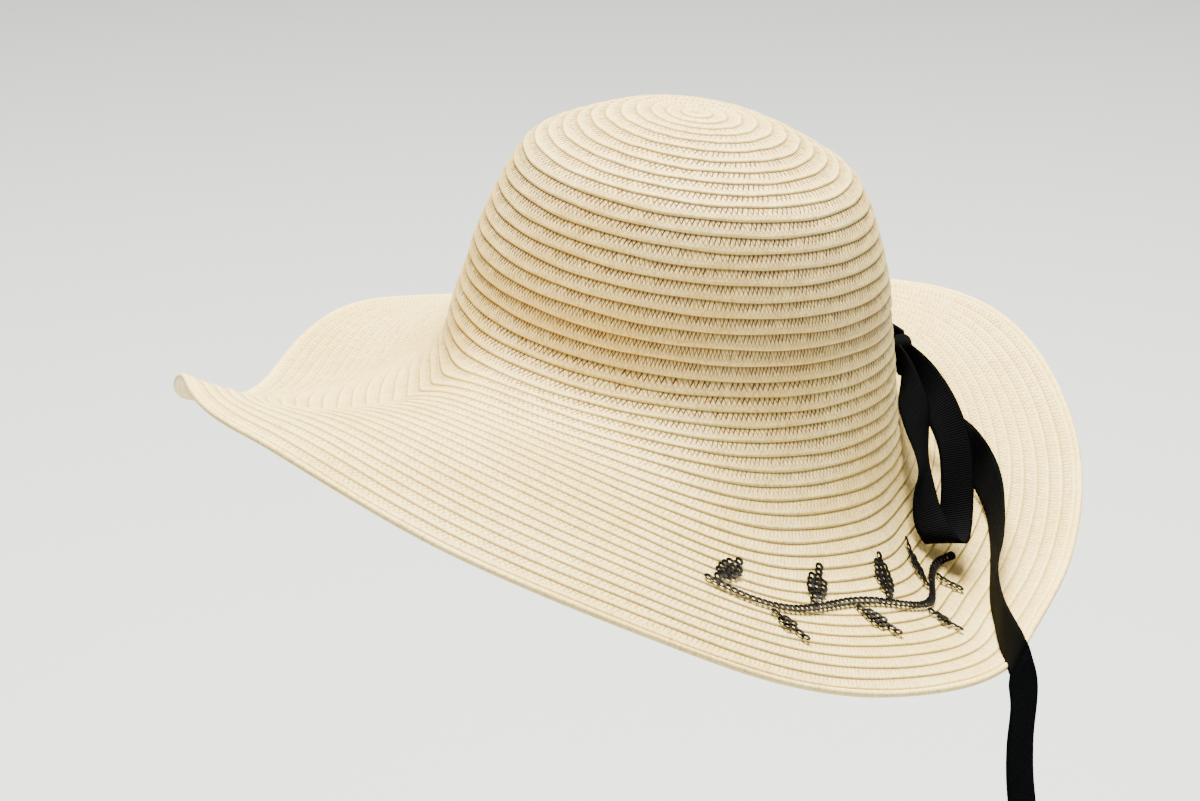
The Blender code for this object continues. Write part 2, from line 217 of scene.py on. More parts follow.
# Least distance of the map from the edge of a row, in rows
ROW_MARGIN = 1e-4
# Unevenness of hand-sewn rows, along the wall and out of it: size, waves round the hat, and turn
# in radians for each metre outwards
ROW_SWAY = ((0.00016, 7, 260.0), (0.00012, 13, -410.0))
ROW_PUFF = ((0.00008, 23, 700.0),)
# Distance from the crown's top over which it sets in
STEADY_RUN = 0.02

# Plait of one row: arms of its zigzag in a stitch, and stitches by which a row may start later
ARMS = 2.0
ROW_SHIFT = 9.0
# Seeds of the chance that shifts a row, and of the one that opens an arm
SHIFT_SEED = 3.0
ARM_SEED = 40.0
# Zigzag of the slits, as shares of the row's width: its top, its least height and what chance adds
SLIT_TOP = 0.05
SLIT_HEIGHT = 0.38
SLIT_HIGHER = 0.22
# Where a slit is gone and where it is darkest: aside from the zigzag, and down the row
SLIT_SIDE = (0.18, 0.08)
SLIT_FOOT = (0.66, 0.40)
# Limits of the chance that opens a slit, and how dark the slits of every second arm are
SLIT_CHANCE = (-0.1, 0.4)
FAINT_ARM = 0.65
# Zigzag of the strands that cross below the slits: its foot and its height, then where a strand is
# gone and where it is whole, aside from it and down the row
CROSS_FOOT = 0.78
CROSS_HEIGHT = 0.30
CROSS_SIDE = (0.10, 0.0)
CROSS_END = (0.85, 0.65)
# Strands beside the slits: where they are gone and where they are whole, and their share
STRAND_SIDE = (0.13, 0.02)
STRAND_SHARE = 0.8
# Painted shadow line under the upper edge of a row and painted shade at its foot: from none to whole
SHADOW_LINE_TOP = (0.20, 0.07)
SHADOW_LINE_FOOT = (0.965, 1.0)
# How far the strands and the slits sink, as shares of the relief
STRAND_SINK = 0.55
SLIT_SINK = 0.6

# Straw: its two body colours, the strands between, the painted shadow lines under the rows,
# and the painted shade in the slits
STRAW_PALE = (0.94, 0.775, 0.34)
STRAW_DEEP = (0.88, 0.69, 0.25)
STRAW_TAN = (0.40, 0.24, 0.07)
# Painted shade seen through the open slits
SLIT_SHADE = (0.085, 0.016, 0.004)
# Painted shadow lines under the rows, on the crown and on the brim
CROWN_SHADOW_LINES = (0.36, 0.25, 0.085)
BRIM_SHADOW_LINES = (0.42, 0.33, 0.09)
# How open the plait is at two rows, each with its row, on the crown and on the brim
CROWN_OPEN = ((1.0, 0.45), (8.0, 1.0))
BRIM_OPEN = ((2.0, 1.0), (12.0, 0.42))
# Clouds and specks of the straw: their scale, and the limits between which they and the toned
# arms show
STRAW_CLOUD = 28.0
STRAW_SPECK = 800.0
CLOUD_EDGE = (0.3, 0.7)
SPECK_EDGE = (0.46, 0.70)
TONE_EDGE = (0.5, 1.0)
# Share of tan in a toned arm, in a speck, in a strand of a shut plait, and what an open plait adds
TONE_TAN = 0.20
SPECK_TAN = 0.42
STRAND_TAN = 0.34
OPEN_TAN = 0.42
# Share of the painted shadow colour in the lines under the rows
SHADOW_LINE_SHARE = 0.85
# Roughness of the straw: what its clouds add, and its least
STRAW_ROUGH = (0.2, 0.5)
# Relief of the plait and its strength, and the specks as a share of it
PLAIT_RELIEF = 0.0004
PLAIT_STRENGTH = 0.8
SPECK_RELIEF = 0.3

# Ribbon: its thickness, how far its middle bows, and the run in which the bow turns by a radian
RIBBON_THICK = 0.0008
RIBBON_CURL = 0.0004
CURL_RUN = 0.013
RIBBON_STEPS = 150
RIBBON_STRIPS = 8
# Ribs to a metre and their relief
RIBS = 1000.0
RIB_RELIEF = 0.00028
# Woven edge: where it begins and where it is whole, as shares of half the width, its threads to
# half the width, and their relief beside a rib's
WOVEN_EDGE = (0.90, 0.95)
EDGE_THREADS = 40.0
EDGE_RELIEF = 1.2
# Its two blacks and the clouds that part them, then the painted highlight on the tops of its ribs:
# its colour, where it begins and where it is whole up a rib, and its share
RIBBON_BLACK = (0.0015, 0.0017, 0.0021)
RIBBON_DULL = (0.0024, 0.0028, 0.0033)
RIBBON_CLOUD = 60.0
RIB_HIGHLIGHT = (0.0052, 0.0060, 0.0070)
RIB_HIGHLIGHT_EDGE = (0.45, 1.0)
RIB_HIGHLIGHT_SHARE = 0.6
# Roughness of the ribbon: what its clouds add, and its least
RIBBON_ROUGH = (0.2, 0.70)

# Knot: how square it is, and the cuts across each side of the cube that it is made from
KNOT_SQUARE = 4.0
KNOT_CUTS = 11
# What its waist takes of its width, and its two ends of its thickness and of its height
KNOT_WAIST = 0.10
KNOT_NARROW = 0.12
KNOT_LOW = 0.05
# Its folds: size as a share of half its thickness, and turn in radians from its middle to an end
WIDE_FOLD = (0.035, 9.0)
FINE_FOLD = (0.02, 17.0)
# How far the wide folds bend on their way round, in radians
FOLD_BEND = 0.8
# Share of the ribbon's width that shows on the knot
KNOT_WRAP = 0.8

# Sequins: their pitch, their middle over the straw, and how they lean and differ
SEQUIN_PITCH = 0.0031
SEQUIN_LIFT = 0.00125
SEQUIN_TILT = math.radians(8)
SEQUIN_UNEVEN = 0.4
SEQUIN_SEED = 7
# Cut through a sequin on one side of its hole, as shares of half its width: out and up
SEQUIN_CUT = ((0.38, -0.04), (0.96, 0.12), (0.93, 0.24), (0.38, 0.08))
# Its sides round the hole, then its sharp angle and its weld, as for the straw
SEQUIN_SIDES = 12
SEQUIN_SHARP = 40
SEQUIN_WELD = 1e-7
# Place of a leaf's outer sequins, in from its edge, and their least distance from its middle row,
# both as shares of a sequin
EDGE_SEQUIN = 0.40
CLEAR_SEQUIN = 0.38
# Points along the vine's middle line and along its stem
VINE_STEPS = 60
STEM_STEPS = 220
# The sequins' two blacks, and the grain that parts them: its scale, its limits and its relief
SEQUIN_BLACK = (0.0018, 0.0018, 0.0022)
SEQUIN_SHEEN = (0.005, 0.0048, 0.0054)
SEQUIN_GRAIN = 700.0
GRAIN_EDGE = (0.35, 0.65)
GRAIN_RELIEF = 0.00015
GRAIN_STRENGTH = 0.5
# Roughness of the sequins: what the grain adds, and its least
SEQUIN_ROUGH = (0.3, 0.32)

# Camera in the photograph's place: lens and sensor in millimetres, and how far it sees in metres
CAMERA_PLACE = (1.4079, -0.0037, 0.4882)
CAMERA_LOOK = (-0.93497, -0.01929, -0.35419)
CAMERA_LENS = 105
CAMERA_SENSOR = 36
CAMERA_REACH = 20
# Floor: its level, half its side, its two colours and the clouds that part them
FLOOR_LEVEL = -0.55
FLOOR_HALF = 6.0
FLOOR_COLOURS = ((0.50, 0.54, 0.60), (0.52, 0.56, 0.62))
FLOOR_CLOUD = 3.0
# Even light from all round: its colour and its strength
SKY_COLOUR = (0.95, 0.97, 1.0, 1.0)
SKY_STRENGTH = 0.20
# Soft lights: name, place, side, power in watts and colour
LIGHTS = (
    ("soft_overhead", (-0.65, 0.0, 2.5), 1.45, 560.0, (1.0, 0.93, 0.78)),
    ("soft_side", (1.0, 1.3, 0.8), 1.0, 6.0, (1.0, 0.94, 0.84)),
    ("soft_front", (1.5, -0.4, -0.25), 1.2, 11.0, (1.0, 0.95, 0.86)),
)


def between(a, b, c, d, part):
    """The smooth value a part of the way from b to c, with a and d beyond them."""
    bend = 2 * a - 5 * b + 4 * c - d
    twist = 3 * b - a - 3 * c + d
    return 0.5 * (2 * b + (c - a) * part + bend * part**2 + twist * part**3)


def curve_through(points, count):
    """Reads a smooth curve through the rows of points at count even steps."""
    rows = np.array(points, float)
    rows = np.vstack([2 * rows[0] - rows[1], rows, 2 * rows[-1] - rows[-2]])
    last = len(rows) - 3
    steps = np.linspace(0.0, last, count)
    low = np.minimum(steps.astype(int), last - 1)
    return between(*(rows[low + k] for k in range(4)), (steps - low)[:, None])


def lengths(points):
    """Distance along a line of points to each of them."""
    steps = np.linalg.norm(np.diff(points, axis=0), axis=1)
    return np.concatenate([[0.0], np.cumsum(steps)])


def outward(heading):
    """Level directions at headings in degrees, before the hat is tipped back."""
    turn = np.radians(heading)
    return np.stack([-np.sin(turn), np.cos(turn), np.zeros_like(turn)], axis=-1)


def tipped(points):
    """Leans points with the crown, about the head line."""
    x, y, z = np.moveaxis(np.asarray(points, float), -1, 0)
    lean, stand = math.sin(TIP_BACK), math.cos(TIP_BACK)
    return np.stack([x, y * stand + z * lean, z * stand - y * lean], axis=-1)


# Outer side of the crown from its top to the head line, and its way at each point
CROWN_LINE = curve_through(
    [(out * HEAD_RADIUS, up * CROWN_HEIGHT) for out, up in CROWN_PROFILE], CROWN_STEPS)
CROWN_RUN = lengths(CROWN_LINE)
CROWN_SLOPE = np.gradient(CROWN_LINE, CROWN_RUN, axis=0)
CROWN_SLOPE /= np.linalg.norm(CROWN_SLOPE, axis=1)[:, None]
FOOT_FALL = math.degrees(math.atan2(CROWN_SLOPE[-1, 1], CROWN_SLOPE[-1, 0]))


def crown_place(run, heading, lift):
    """Points on the crown at a distance from its top, along headings, held lift over it."""
    out, up, along, fall = (
        np.interp(run, CROWN_RUN, values)
        for values in (CROWN_LINE[:, 0], CROWN_LINE[:, 1], CROWN_SLOPE[:, 0], CROWN_SLOPE[:, 1])
    )
    high = up + along * lift
    points = outward(heading) * (out - fall * lift)[..., None]
    points[..., 2] = high
    points[..., 1] -= CROWN_SET * (np.maximum(up, 0.0) / CROWN_HEIGHT) ** 2
    return tipped(points)


def brim_table(sides, steps):
    """Upper side of the brim as points and the way out of the straw, one row a heading."""
    reach = np.linspace(0.0, 1.0, steps)
    step = BRIM_WIDTH * reach[1]
    wave = np.array(BRIM_WAVE, float)
    place = np.arange(sides) / sides * len(wave)
    first = place.astype(int)
    near = (wave[(first + k) % len(wave)] for k in (-1, 0, 1, 2))
    falls = between(*near, (place - first)[:, None])
    falls = np.column_stack([np.full(sides, FOOT_FALL), falls])
    eased = sum(np.roll(falls, turn, axis=0) for turn in range(-FOLD_EASE, FOLD_EASE + 1))
    falls[:, :EASED_FALLS] = eased[:, :EASED_FALLS] / (2 * FOLD_EASE + 1)
    known = (0.0, *WAVE_REACHES)
    slope = np.radians([np.interp(reach - 0.5 * reach[1], known, fall) for fall in falls])
    slope[:, 0] = math.radians(FOOT_FALL)
    out = np.cumsum(np.cos(slope) * step, axis=1) - np.cos(slope[:, :1]) * step + HEAD_RADIUS
    up = np.cumsum(np.sin(slope) * step, axis=1) - np.sin(slope[:, :1]) * step
    points = outward(np.arange(sides) * 360.0 / sides)[:, None, :] * out[..., None]
    points[..., 2] = up
    down = np.gradient(points, axis=1)
    beyond = np.roll(points, -1, axis=0) - np.roll(points, 1, axis=0)
    normals = np.cross(down, beyond)
    normals /= np.linalg.norm(normals, axis=-1)[..., None]
    return points, normals


BRIM_POINTS, BRIM_NORMALS = brim_table(BRIM_SIDES, BRIM_STEPS)


def on_brim(heading, reach):
    """Points on the upper side of the brim and the way out of the straw there."""
    sides, steps = BRIM_POINTS.shape[:2]
    across = np.mod(np.asarray(heading, float), 360.0) / 360.0 * sides
    along = np.clip(np.asarray(reach, float), 0.0, 1.0) * (steps - 1)
    side, step = np.floor(across).astype(int), np.minimum(along.astype(int), steps - 2)
    part, share = (across - side)[..., None], (along - step)[..., None]
    side, after = side % sides, (side + 1) % sides
    found = []
    for table in (BRIM_POINTS, BRIM_NORMALS):
        near = table[side, step] * (1 - share) + table[side, step + 1] * share
        far = table[after, step] * (1 - share) + table[after, step + 1] * share
        found.append(near * (1 - part) + far * part)
    found[1] /= np.linalg.norm(found[1], axis=-1)[..., None]
    return found


def brim_place(run, heading, lift):
    """Points on the brim at a distance from the head line, held lift over it."""
    points, normals = on_brim(heading, run / BRIM_WIDTH)
    return tipped(points + normals * np.asarray(lift)[..., None])


def over_brim(heading, reach, lift):
    """One point held lift over the brim."""
    return brim_place(reach * BRIM_WIDTH, heading, lift)


def socket(tree, value, target):
    """Joins a value to a socket: another socket, or a plain number or colour."""
    if isinstance(value, bpy.types.NodeSocket):
        tree.links.new(value, target)
    else:
        target.default_value = value


def calc(tree, operation, *values):
    """One step of arithmetic in a node tree."""
    node = tree.nodes.new("ShaderNodeMath")
    node.operation = operation
    for value, target in zip(values, node.inputs):
        socket(tree, value, target)
    return node.outputs[0]


def scaled(tree, value, times, plus):
    """A value times one number, plus another."""
    return calc(tree, "ADD", calc(tree, "MULTIPLY", value, times), plus)


def ramp(tree, value, low, high):
    """Rises smoothly from 0 to 1 as a value goes from low to high."""
    node = tree.nodes.new("ShaderNodeMapRange")
    node.interpolation_type = "SMOOTHSTEP"
    for place, number in enumerate((value, low, high)):
        socket(tree, number, node.inputs[place])
    return node.outputs[0]


def blend(tree, share, first, second):
    """Mixes two colours."""
    node = tree.nodes.new("ShaderNodeMix")
    node.data_type = "RGBA"
    for value, place in ((share, 0), (first, 6), (second, 7)):
        if isinstance(value, tuple):
            value = (*value, 1.0)
        socket(tree, value, node.inputs[place])
    return node.outputs[2]


def blend_value(tree, share, first, second):
    """Mixes two numbers."""
    rest = calc(tree, "MULTIPLY", calc(tree, "SUBTRACT", 1.0, share), first)
    return calc(tree, "ADD", rest, calc(tree, "MULTIPLY", share, second))


def noise(tree, where, scale, detail=2.0):
    """Soft random cloud, about 0.5."""
    node = tree.nodes.new("ShaderNodeTexNoise")
    tree.links.new(where, node.inputs["Vector"])
    node.inputs["Scale"].default_value = scale
    node.inputs["Detail"].default_value = detail
    return node.outputs["Fac"]


def chance(tree, first, second):
    """A random number for each pair of whole numbers."""
    join = tree.nodes.new("ShaderNodeCombineXYZ")
    socket(tree, first, join.inputs[0])
    socket(tree, second, join.inputs[1])
    node = tree.nodes.new("ShaderNodeTexWhiteNoise")
    node.noise_dimensions = "2D"
    tree.links.new(join.outputs[0], node.inputs["Vector"])
    return node.outputs["Value"]


def group(name, inputs, outputs):
    """A node group with number inputs and outputs."""
    made = bpy.data.node_groups.new(name, "ShaderNodeTree")
    for label, value in inputs:
        entry = made.interface.new_socket(label, in_out="INPUT", socket_type="NodeSocketFloat")
        entry.default_value = value
    for label in outputs:
        made.interface.new_socket(label, in_out="OUTPUT", socket_type="NodeSocketFloat")
    return made, made.nodes.new("NodeGroupInput").outputs, made.nodes.new("NodeGroupOutput").inputs


def braid_group():
    """Plaited straw of one row: slits in a zigzag under its upper edge, strands below them, and where
    painted shade darkens the slits and lines the row's edges.
    """
    tree, given, out = group(
        "plaited_straw", (("Stitch", 0.0), ("Row", 0.0), ("Open", 1.0)),
        ("Height", "Slit", "Strand", "Tone", "Seam"))
    row = calc(tree, "FLOOR", given["Row"])
    across = calc(tree, "FRACT", given["Row"])
    shift = calc(tree, "MULTIPLY", chance(tree, row, SHIFT_SEED), ROW_SHIFT)
    stitch = calc(tree, "ADD", given["Stitch"], shift)
    jitter = chance(tree, calc(tree, "FLOOR", stitch), row)
    zigzag = calc(tree, "MULTIPLY", calc(tree, "PINGPONG", stitch, 1 / ARMS), ARMS)

    high = scaled(tree, jitter, SLIT_HIGHER, SLIT_HEIGHT)
    line = scaled(tree, zigzag, high, SLIT_TOP)
    apart = calc(tree, "ABSOLUTE", calc(tree, "SUBTRACT", across, line))
    arm = calc(tree, "FLOOR", calc(tree, "MULTIPLY", stitch, ARMS))
    luck = chance(tree, arm, calc(tree, "ADD", row, ARM_SEED))
    favoured = scaled(tree, calc(tree, "PINGPONG", arm, 1.0), 1 - FAINT_ARM, FAINT_ARM)
    size = calc(tree, "MULTIPLY", ramp(tree, luck, *SLIT_CHANCE), favoured)
    slit = calc(tree, "MULTIPLY", ramp(tree, apart, *SLIT_SIDE), size)
    slit = calc(tree, "MULTIPLY", slit, ramp(tree, across, *SLIT_FOOT))
    slit = calc(tree, "MULTIPLY", slit, given["Open"])

    lower = calc(tree, "SUBTRACT", CROSS_FOOT, calc(tree, "MULTIPLY", zigzag, CROSS_HEIGHT))
    below = calc(tree, "ABSOLUTE", calc(tree, "SUBTRACT", across, lower))
    cross = calc(tree, "MULTIPLY", ramp(tree, below, *CROSS_SIDE), ramp(tree, across, *CROSS_END))
    beside = calc(tree, "MULTIPLY", ramp(tree, apart, *STRAND_SIDE), STRAND_SHARE)
    strand = calc(tree, "MAXIMUM", beside, cross)
    # Painted shadow lines: under the upper edge of a row and at its foot
    shadow_line = calc(tree, "MAXIMUM", ramp(tree, across, *SHADOW_LINE_TOP), ramp(tree, across, *SHADOW_LINE_FOOT))
    height = calc(tree, "SUBTRACT", 1.0, calc(tree, "MULTIPLY", strand, STRAND_SINK))
    height = calc(tree, "SUBTRACT", height, calc(tree, "MULTIPLY", slit, SLIT_SINK))
    tree.links.new(height, out["Height"])
    tree.links.new(slit, out["Slit"])
    tree.links.new(strand, out["Strand"])
    tree.links.new(luck, out["Tone"])
    tree.links.new(shadow_line, out["Seam"])
    return tree


def use_group(tree, made, **values):
    """Places a node group and joins its inputs."""
    node = tree.nodes.new("ShaderNodeGroup")
    node.node_tree = made
    for name, value in values.items():
        socket(tree, value, node.inputs[name])
    return node.outputs


def fresh_material(name, roughness, **constants):
    """A new material with its tree, its Principled shader and its Object coordinates."""
    made = bpy.data.materials.new(name)
    made.use_nodes = True
    tree = made.node_tree
    shader = tree.nodes["Principled BSDF"]
    shader.inputs["Roughness"].default_value = roughness
    for label, value in constants.items():
        shader.inputs[label.replace("_", " ")].default_value = value
    place = tree.nodes.new("ShaderNodeTexCoord").outputs["Object"]
    return made, tree, shader, place


def read_map(tree, name):
    """The two numbers of a piece's own map."""
    node = tree.nodes.new("ShaderNodeUVMap")
    node.uv_map = name
    split = tree.nodes.new("ShaderNodeSeparateXYZ")
    tree.links.new(node.outputs[0], split.inputs[0])
    return split.outputs[0], split.outputs[1]


def bump(tree, height, distance, shader, strength=1.0):
    """Relief from a height."""
    node = tree.nodes.new("ShaderNodeBump")
    node.inputs["Distance"].default_value = distance
    node.inputs["Strength"].default_value = strength
    tree.links.new(height, node.inputs["Height"])
    tree.links.new(node.outputs[0], shader.inputs["Normal"])


def straw_material(name, braid, open_rows, shadow_line_colour):
    """Cream paper straw, with the plait more open at some rows, and the colour of its painted shadow
    lines.
    """
    made, tree, shader, place = fresh_material(name, roughness=0.62, Specular_IOR_Level=0.3)
    stitch, row = read_map(tree, "braid")
    (first, open_first), (last, open_last) = open_rows
    open_share = scaled(tree, ramp(tree, row, first, last), open_last - open_first, open_first)
    plait = use_group(tree, braid, Stitch=stitch, Row=row, Open=open_share)
    cloud = noise(tree, place, STRAW_CLOUD, detail=3.0)
    speck = noise(tree, place, STRAW_SPECK)
    body = blend(tree, ramp(tree, cloud, *CLOUD_EDGE), STRAW_PALE, STRAW_DEEP)
    toned = calc(tree, "MULTIPLY", ramp(tree, plait["Tone"], *TONE_EDGE), TONE_TAN)
    body = blend(tree, toned, body, STRAW_TAN)
    specked = calc(tree, "MULTIPLY", ramp(tree, speck, *SPECK_EDGE), SPECK_TAN)
    body = blend(tree, specked, body, STRAW_TAN)
    webbed = calc(tree, "MULTIPLY", plait["Strand"], scaled(tree, open_share, OPEN_TAN, STRAND_TAN))
    body = blend(tree, webbed, body, STRAW_TAN)
    # Painted shadow under the lip of each row, and painted shade at its foot
    body = blend(tree, calc(tree, "MULTIPLY", plait["Seam"], SHADOW_LINE_SHARE), body, shadow_line_colour)
    # Painted shade in the slits, where the open plait shows the dark beneath it
    body = blend(tree, plait["Slit"], body, blend(tree, open_share, STRAW_TAN, SLIT_SHADE))
    tree.links.new(body, shader.inputs["Base Color"])
    fine = calc(tree, "MULTIPLY", speck, SPECK_RELIEF)
    bump(tree, calc(tree, "ADD", plait["Height"], fine), PLAIT_RELIEF, shader, PLAIT_STRENGTH)
    tree.links.new(scaled(tree, cloud, *STRAW_ROUGH), shader.inputs["Roughness"])
    return made


def ribbon_material():
    """Black grosgrain: fine ribs across with a painted highlight on their tops, and a tight edge on each
    side.
    """
    made, tree, shader, place = fresh_material("black_grosgrain", roughness=0.8, IOR=1.06)
    across, along = read_map(tree, "ribbon")
    rib = calc(tree, "PINGPONG", calc(tree, "MULTIPLY", along, RIBS), 0.5)
    rib = calc(tree, "SINE", calc(tree, "MULTIPLY", rib, math.pi))
    side = calc(tree, "ABSOLUTE", across)
    thread = calc(tree, "PINGPONG", calc(tree, "MULTIPLY", side, EDGE_THREADS), 0.5)
    thread = calc(tree, "MULTIPLY", thread, EDGE_RELIEF)
    bump(tree, blend_value(tree, ramp(tree, side, *WOVEN_EDGE), rib, thread), RIB_RELIEF, shader)
    cloud = noise(tree, place, RIBBON_CLOUD, detail=3.0)
    dull = blend(tree, ramp(tree, cloud, *CLOUD_EDGE), RIBBON_BLACK, RIBBON_DULL)
    # Painted highlight: a lighter black along the tops of the ribs
    lit = calc(tree, "MULTIPLY", ramp(tree, rib, *RIB_HIGHLIGHT_EDGE), RIB_HIGHLIGHT_SHARE)
    tree.links.new(blend(tree, lit, dull, RIB_HIGHLIGHT), shader.inputs["Base Color"])
    tree.links.new(scaled(tree, cloud, *RIBBON_ROUGH), shader.inputs["Roughness"])
    return made


def sequin_material():
    """Black sequins with a slight coat and a fine grain."""
    made, tree, shader, place = fresh_material(
        "black_sequins", roughness=0.4, Coat_Weight=0.03, Coat_Roughness=0.15, IOR=1.2)
    grain = noise(tree, place, SEQUIN_GRAIN)
    black = blend(tree, ramp(tree, grain, *GRAIN_EDGE), SEQUIN_BLACK, SEQUIN_SHEEN)
    tree.links.new(black, shader.inputs["Base Color"])
    tree.links.new(scaled(tree, grain, *SEQUIN_ROUGH), shader.inputs["Roughness"])
    bump(tree, grain, GRAIN_RELIEF, shader, GRAIN_STRENGTH)
    return made


def finish_mesh(name, mesh, finish, sharp=None):
    """A smooth named piece from a finished mesh."""
    mesh.shade_smooth()
    if sharp:
        mesh.set_sharp_from_angle(angle=math.radians(sharp))
    made = bpy.data.objects.new(name, mesh)
    mesh.materials.append(finish)
    bpy.context.scene.collection.objects.link(made)
    return made


def dress(piece, slot, *nodes):
    """Sets a piece on the hat in place of its CAD nodes."""
    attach(piece, "root")
    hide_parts(*nodes)


def mesh_of(work, name):
    """A mesh from a bmesh as it is."""
    mesh = bpy.data.meshes.new(name)
    work.to_mesh(mesh)
    work.free()
    return mesh


def closed_mesh(work, name):
    """A mesh from a closed bmesh, its faces turned outwards."""
    work.normal_update()
    bmesh.ops.recalc_face_normals(work, faces=work.faces[:])
    return mesh_of(work, name)


def points_of(mesh):
    """The places of a mesh's vertices."""
    found = np.zeros(len(mesh.vertices) * 3, np.float32)
    mesh.vertices.foreach_get("co", found)
    return found.reshape(-1, 3).astype(float)


def set_points(mesh, points):
    """Gives a mesh's vertices their places."""
    mesh.vertices.foreach_set("co", np.ascontiguousarray(points, np.float32).ravel())
    mesh.update()


def corners_of(mesh):
    """The vertex at each corner of a mesh's faces."""
    found = np.zeros(len(mesh.loops), np.int32)
    mesh.loops.foreach_get("vertex_index", found)
    return found


def set_map(mesh, name, across, along):
    """Gives a mesh a map, from two numbers for each corner."""
    layer = mesh.uv_layers.new(name=name)
    layer.data.foreach_set("uv", np.column_stack([across, along]).astype(np.float32).ravel())


def spin_round(work, points, closed, sides, weld):
    """Spins a line of points once round the Z axis."""
    line = [work.verts.new(point) for point in points]
    edges = [work.edges.new(pair) for pair in zip(line, line[1:])]
    if closed:
        edges.append(work.edges.new((line[-1], line[0])))
    bmesh.ops.spin(
        work, geom=line + edges, axis=(0.0, 0.0, 1.0), cent=(0.0, 0.0, 0.0),
        angle=2 * math.pi, steps=sides, use_merge=True)
    bmesh.ops.remove_doubles(work, verts=work.verts[:], dist=weld)


def row_outline(start, rows, width, hem):
    """Cut through a wall of sewn rows: its face and then its back, as distances out and up."""
    face = [(start + (row + share) * width, lift) for row in range(rows) for share, lift in ROW_FACE]
    back = [(start + (row + share) * width, lift) for row in range(rows) for share, lift in ROW_BACK]
    end = start + rows * width
    if hem:
        face += [(end + share * hem, lift) for share, lift in HEM_FACE]
        back += [(end + share * hem, lift) for share, lift in HEM_BACK]
    else:
        face += [(end + out, lift) for out, lift in SEAM_LIP]
    return face, back[::-1]


def unevenness(table, run, turn):
    """Small waves of a hand-sewn wall, none at the crown's top."""
    waves = sum(size * np.sin(around * turn + out * run) for size, around, out in table)
    return waves * np.clip(run / STEADY_RUN, 0.0, 1.0)


def braid_wall(name, outline, closed, sides, rows_from, width, place, finish):
    """Rows of braid spun flat as one closed wall, mapped stitch by stitch and set in place."""
    face, back = outline
    work = bmesh.new()
    spin_round(work, [(0.0, out, up) for out, up in face + back], closed, sides, WELD)
    mesh = closed_mesh(work, name)
    flat = points_of(mesh)
    run = np.hypot(flat[:, 0], flat[:, 1])
    heading = np.degrees(np.arctan2(-flat[:, 0], flat[:, 1]))
    stitch_map(mesh, run, heading, rows_from, width)
    turn = np.radians(heading)
    inside = (run > run.min() + width / 4) & (run < run.max() - width / 4)
    swayed = run + unevenness(ROW_SWAY, run, turn) * inside
    set_points(mesh, place(swayed, heading, flat[:, 2] + unevenness(ROW_PUFF, run, turn)))
    return finish_mesh(name, mesh, finish, STRAW_SHARP)


def stitch_map(mesh, run, heading, rows_from, width):
    """Map of a braid: whole stitches along each row, and rows across."""
    corner = corners_of(mesh)
    count = np.zeros(len(mesh.polygons), np.int32)
    mesh.polygons.foreach_get("loop_total", count)
    face_of = np.repeat(np.arange(len(count)), count)
    start = np.concatenate([[0], np.cumsum(count)[:-1]])
    middle = np.add.reduceat(run[corner], start) / count
    turn = np.radians(heading[corner])
    east, north = (np.add.reduceat(f(turn), start) for f in (np.cos, np.sin))
    mean = np.arctan2(north, east)[face_of]
    apart = (turn - mean + math.pi) % (2 * math.pi) - math.pi
    # The middle of the crown's top lies at no heading of its own
    apart[run[corner] < WELD] = 0.0
    row = np.floor((middle - rows_from) / width)
    around = 2 * math.pi * np.maximum((row + 0.5) * width + rows_from, width / 2)
    stitches = np.round(around / STITCH)[face_of]
    along = (mean + apart) / (2 * math.pi) * stitches
    across = (run[corner] - rows_from) / width
    across = np.clip(across, row[face_of] + ROW_MARGIN, row[face_of] + 1 - ROW_MARGIN)
    # The rolled edge shows only the smooth lower part of a row
    past = across - BRIM_ROWS
    across = np.where(past > 0, BRIM_ROWS + HEM_PLAIT + past * HEM_PACE, across)
    set_map(mesh, "braid", along, across)


def build_crown(finish):
    """Crown of sewn rows."""
    width = CROWN_RUN[-1] / CROWN_ROWS
    face, back = row_outline(0.0, CROWN_ROWS, width, 0.0)
    back.append((0.0, ROW_BACK[0][1]))
    piece = braid_wall(
        "crown_braid", (face, back), False, CROWN_SIDES, 0.0, width, crown_place, finish)
    dress(piece, "straw_braid", "crown")


def build_brim(finish):
    """Brim of sewn rows with a rolled edge."""
    width = BRIM_WIDTH / (BRIM_ROWS + HEM_SHARE)
    face, back = row_outline(HEAD_RADIUS, BRIM_ROWS, width, HEM_SHARE * width)
    face[0] = (HEAD_RADIUS + GAP / 2, face[0][1])

    def place(run, heading, lift):
        return brim_place(run - HEAD_RADIUS, heading, lift)

    piece = braid_wall(
        "brim_braid", (face, back), True, BRIM_SIDES, HEAD_RADIUS, width, place, finish)
    dress(piece, "straw_braid", "collar", "brim")


def knot_frame():
    """Middle of the knot, with its directions along the crown, out of it and up it."""
    heading, reach = KNOT_PLACE
    foot, normal = on_brim(heading, reach)
    along = np.cross((0.0, 0.0, 1.0), normal)
    along /= np.linalg.norm(along)
    middle = tipped(foot + normal * (KNOT_LIFT + KNOT_THICK / 2))
    out, side = tipped(normal), tipped(along)
    return middle, side, out, np.cross(out, side)


def knot_exit(way, layer):
    """First section of a strand that leaves a side of the knot, in its outer or inner layer."""
    middle, side, out, up = knot_frame()
    clear = KNOT_WIDTH / 2 + 3 * GAP
    return (*(middle + side * way * clear + out * layer * KNOT_THICK / 4), *up)


def route(table):
    """Sections of a ribbon from a table of places over the brim."""
    return [
        (*over_brim(heading, reach, lift * RIBBON_WIDTH), left, back, up)
        for heading, reach, lift, left, back, up in table
    ]


